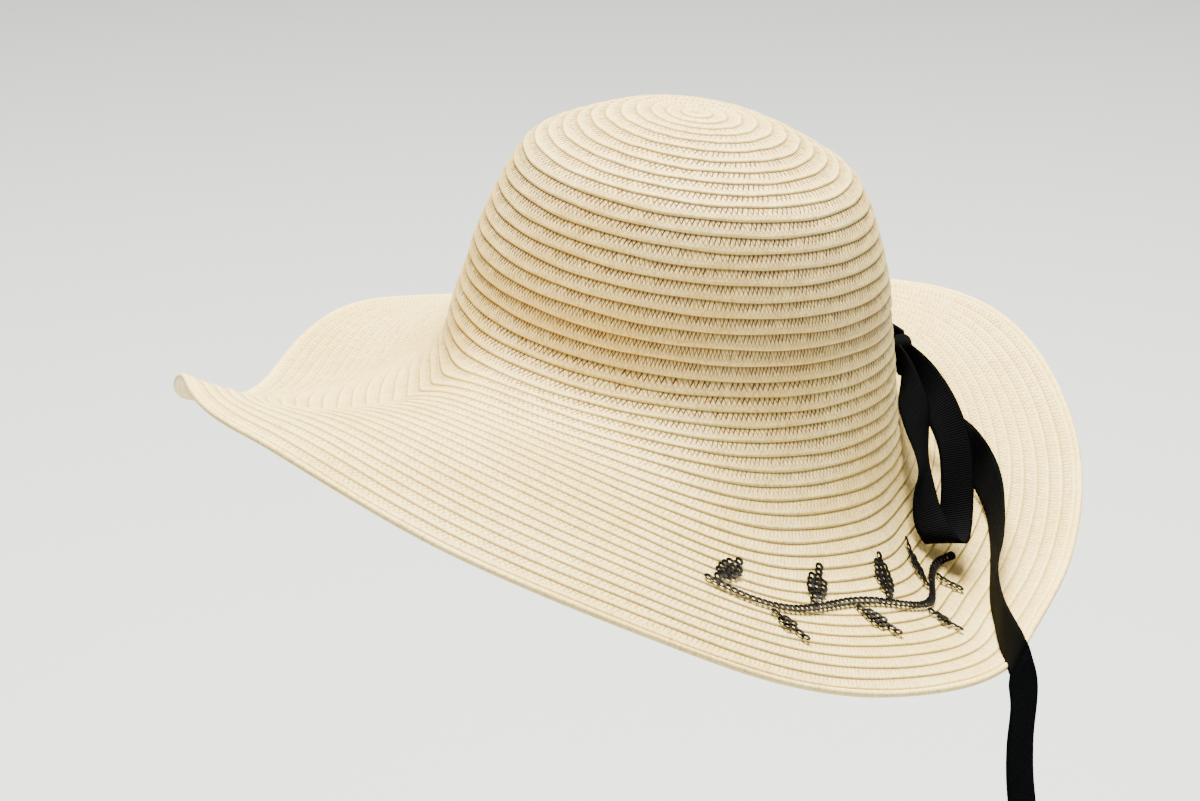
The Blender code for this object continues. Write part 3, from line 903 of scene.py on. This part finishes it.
def tail_sections():
    """The long end: out of the knot, along the fold of the brim, and down over the rim."""
    middle, side, out, up = knot_frame()
    leave = middle - up * (KNOT_HEIGHT / 2 + 3 * GAP)
    first = side if side[0] < 0 else -side
    sections = [(*leave, *first), *route(TAIL_ON_BRIM)]
    edge = over_brim(*TAIL_EDGE, 0.0)
    for left, back, down, *across in TAIL_FALL:
        place = edge + (left * RIBBON_WIDTH, back * RIBBON_WIDTH, -down * TAIL_DROP)
        sections.append((*place, *across))
    return sections


def build_ribbon(name, sections, node, finish):
    """Ribbon: a flat grid led along its middle line, then given its thickness."""
    rows = curve_through(sections, RIBBON_STEPS + 1)
    middle = rows[:, :3]
    across = rows[:, 3:] / np.linalg.norm(rows[:, 3:], axis=1)[:, None]
    run = lengths(middle)
    way = np.gradient(middle, run, axis=0)
    normal = np.cross(across, way)
    normal /= np.linalg.norm(normal, axis=1)[:, None]
    work = bmesh.new()
    bmesh.ops.create_grid(work, x_segments=RIBBON_STRIPS, y_segments=RIBBON_STEPS, size=1.0)
    mesh = mesh_of(work, name)
    flat = points_of(mesh)
    step = np.rint((flat[:, 1] + 1) / 2 * RIBBON_STEPS).astype(int)
    side = flat[:, 0]
    curl = RIBBON_CURL * (side**2 - 0.5) * np.sin(run[step] / CURL_RUN)
    beside = across[step] * (side * RIBBON_WIDTH / 2)[:, None]
    set_points(mesh, middle[step] + beside + normal[step] * curl[:, None])
    corner = corners_of(mesh)
    set_map(mesh, "ribbon", side[corner], run[step][corner])
    piece = finish_mesh(name, mesh, finish)
    wall = piece.modifiers.new("thickness", "SOLIDIFY")
    wall.thickness = RIBBON_THICK
    wall.offset = 0.0
    dress(piece, "ribbon", node)


def build_knot(finish):
    """Knot: ribbon wrapped once round, full in front and drawn in at its waist."""
    middle, side, out, up = knot_frame()
    work = bmesh.new()
    bmesh.ops.create_cube(work, size=2.0)
    bmesh.ops.subdivide_edges(work, edges=work.edges[:], cuts=KNOT_CUTS, use_grid_fill=True)
    mesh = closed_mesh(work, "bow_knot_wrap")
    flat = points_of(mesh)
    length = (np.abs(flat) ** KNOT_SQUARE).sum(1) ** (1 / KNOT_SQUARE)
    x, y, z = (flat / length[:, None]).T
    angle = np.arctan2(z, y)
    wide, wide_turn = WIDE_FOLD
    fine, fine_turn = FINE_FOLD
    folds = wide * np.sin(x * wide_turn + FOLD_BEND * np.sin(2 * angle))
    folds += fine * np.sin(x * fine_turn + angle)
    across = x * (1.0 - KNOT_WAIST * (1 - z**2))
    proud = y * (1.0 - KNOT_NARROW * x**2 + folds * (1 - x**4))
    high = z * (1.0 - KNOT_LOW * x**2 + folds / 2)
    set_points(mesh, (
        middle
        + side * (across * KNOT_WIDTH / 2)[:, None]
        + out * (proud * KNOT_THICK / 2)[:, None]
        + up * (high * KNOT_HEIGHT / 2)[:, None]
    ))
    corner = corners_of(mesh)
    around = angle * (KNOT_HEIGHT + KNOT_THICK) / math.pi
    set_map(mesh, "ribbon", (x * KNOT_WRAP)[corner], around[corner])
    piece = finish_mesh("bow_knot_wrap", mesh, finish)
    dress(piece, "ribbon", "bow_knot")


def build_bow(finish):
    """Bow: knot, two loops and the long end."""
    build_knot(finish)
    near, far = -1.0, 1.0
    hanging = [knot_exit(near, 1.0), *route(HANGING_LOOP), knot_exit(near, -1.0)]
    resting = [knot_exit(far, 1.0), *route(RESTING_LOOP), knot_exit(far, -1.0)]
    build_ribbon("bow_ribbon_left", hanging, "bow_loop_left", finish)
    build_ribbon("bow_ribbon_right", resting, "bow_loop_right", finish)
    build_ribbon("ribbon_long_end", tail_sections(), "ribbon_tail", finish)


def vine_place(share, across):
    """Heading and reach at a share of the vine's length, across it towards the rim."""
    heading = VINE_START + (VINE_END - VINE_START) * share
    return heading, VINE_REACH + across / BRIM_WIDTH


def stem_wave(share):
    """How far the stem lies from its middle line, towards the rim."""
    return STEM_WAVE * math.sin(2 * math.pi * STEM_WAVES * share)


def vine_length():
    """Length of the vine's middle line on the brim."""
    shares = np.linspace(0.0, 1.0, VINE_STEPS)
    return lengths([over_brim(*vine_place(share, 0.0), 0.0) for share in shares])[-1]


def one_sequin():
    """A cupped ring about its own centre, facing up: a few sides round a small hole."""
    work = bmesh.new()
    cut = [(out * SEQUIN / 2, 0.0, up * SEQUIN / 2) for out, up in SEQUIN_CUT]
    spin_round(work, cut, True, SEQUIN_SIDES, SEQUIN_WELD)
    return closed_mesh(work, "sequin")


def sew_sequins(name, places, node, shape, chances, finish):
    """Sequins sewn on the brim: a place is a heading, a reach, and the same a little further on."""
    heading, reach, next_heading, next_reach = np.array(places).T
    foot, normal = (tipped(values) for values in on_brim(heading, reach))
    ahead = over_brim(next_heading, next_reach, np.zeros(len(foot)))
    work = bmesh.new()
    for number in range(len(foot)):
        up = Vector(normal[number])
        way = Vector(ahead[number] - foot[number])
        way = (way - up * way.dot(up)).normalized()
        tilt, roll, spin = chances.normal(0.0, 1.0, 3)
        turn = Matrix((way, up.cross(way), up)).transposed()
        turn = turn @ Matrix.Rotation(-SEQUIN_TILT * (1 + SEQUIN_UNEVEN * tilt), 3, "Y")
        turn = turn @ Matrix.Rotation(SEQUIN_TILT * SEQUIN_UNEVEN * roll, 3, "X")
        turn = turn @ Matrix.Rotation(spin, 3, "Z")
        held = len(work.verts)
        work.from_mesh(shape)
        work.verts.ensure_lookup_table()
        place = Matrix.Translation(Vector(foot[number]) + up * SEQUIN_LIFT) @ turn.to_4x4()
        bmesh.ops.transform(work, matrix=place, verts=work.verts[held:])
    piece = finish_mesh(name, closed_mesh(work, name), finish, SEQUIN_SHARP)
    dress(piece, "sequins", node)


def string_places(marks):
    """Sequins at an even pitch along a line of heading and reach."""
    headings, reaches = np.array(marks).T
    run = lengths(over_brim(headings, reaches, np.zeros(len(marks))))
    count = int(round(run[-1] / SEQUIN_PITCH)) + 1
    at = np.linspace(0.0, run[-1], count)
    step = run[-1] / count / 2
    at = np.minimum(at, run[-1] - step)
    return np.column_stack([
        np.interp(at, run, headings), np.interp(at, run, reaches),
        np.interp(at + step, run, headings), np.interp(at + step, run, reaches)])


def leaf_places(total, share, side, length, lean):
    """Rows of sequins that fill a leaf beside the stem, from its stalk to its point."""
    turn = math.radians(lean)
    long = length * LEAF_LENGTH
    places = []
    steps = np.linspace(0.0, 1.0, len(LEAF_SHAPE))
    for row in (0, -1, 1):
        begin = 0.0 if row == 0 else SEQUIN_PITCH / 2
        for out in np.arange(begin, long + SEQUIN_PITCH / 4, SEQUIN_PITCH):
            spot = []
            for along in (out, out + SEQUIN_PITCH / 2):
                half = np.interp(along / long, steps, LEAF_SHAPE) * length * LEAF_WIDTH / 2
                shift = row * (half - SEQUIN * EDGE_SEQUIN)
                away = LEAF_STALK + along * math.cos(turn) - side * shift * math.sin(turn)
                slide = -along * math.sin(turn) - side * shift * math.cos(turn)
                spot += vine_place(share + slide / total, stem_wave(share) - side * away)
            if row == 0 or half > SEQUIN * (EDGE_SEQUIN + CLEAR_SEQUIN):
                places.append(spot)
    return places


def build_vine(finish):
    """Running vine of sewn sequins: a waved stem and its leaves."""
    chances = np.random.default_rng(SEQUIN_SEED)
    shape = one_sequin()
    total = vine_length()
    shares = np.linspace(0.0, 1.0, STEM_STEPS)
    stem = string_places([vine_place(share, stem_wave(share)) for share in shares])
    sew_sequins("sequins_of_stem", stem, "sequin_stem", shape, chances, finish)
    for number, leaf in enumerate(VINE_LEAVES, start=1):
        places = leaf_places(total, *leaf)
        sew_sequins(
            f"sequins_of_leaf_{number}", places, f"sequin_leaf_{number}", shape, chances, finish)
    bpy.data.meshes.remove(shape)


def build_floor():
    """Pale floor."""
    work = bmesh.new()
    bmesh.ops.create_grid(work, x_segments=1, y_segments=1, size=FLOOR_HALF)
    mesh = mesh_of(work, "studio_floor")
    set_points(mesh, points_of(mesh) + (0.0, 0.0, FLOOR_LEVEL))
    made, tree, shader, place = fresh_material(
        "pale_floor", roughness=0.8, Specular_IOR_Level=0.2)
    pale = blend(tree, noise(tree, place, FLOOR_CLOUD), *FLOOR_COLOURS)
    tree.links.new(pale, shader.inputs["Base Color"])
    finish_mesh("studio_floor", mesh, made)


def build_lights():
    """Soft lights that face the hat, and an even sky."""
    world = bpy.data.worlds.new("studio")
    world.use_nodes = True
    sky = world.node_tree.nodes["Background"]
    sky.inputs["Color"].default_value = SKY_COLOUR
    sky.inputs["Strength"].default_value = SKY_STRENGTH
    bpy.context.scene.world = world
    for name, place, side, power, colour in LIGHTS:
        lamp = bpy.data.lights.new(name, "AREA")
        lamp.size = side
        lamp.energy = power
        lamp.color = colour
        holder = bpy.data.objects.new(name, lamp)
        bpy.context.scene.collection.objects.link(holder)
        holder.location = place
        holder.rotation_euler = (-Vector(place)).to_track_quat("-Z", "Y").to_euler()


def set_camera():
    """The camera in the photograph's place."""
    lens = bpy.data.cameras.new("photograph")
    lens.lens = CAMERA_LENS
    lens.sensor_width = CAMERA_SENSOR
    lens.clip_end = CAMERA_REACH
    camera = bpy.data.objects.new("photograph", lens)
    bpy.context.scene.collection.objects.link(camera)
    camera.location = CAMERA_PLACE
    camera.rotation_euler = Vector(CAMERA_LOOK).to_track_quat("-Z", "Y").to_euler()
    bpy.context.scene.camera = camera


def main():
    """Sets the stage and dresses the hat."""
    build_floor()
    build_lights()
    set_camera()
    braid = braid_group()
    build_crown(straw_material("straw_of_crown", braid, CROWN_OPEN, CROWN_SHADOW_LINES))
    build_brim(straw_material("straw_of_brim", braid, BRIM_OPEN, BRIM_SHADOW_LINES))
    build_bow(ribbon_material())
    build_vine(sequin_material())


main()
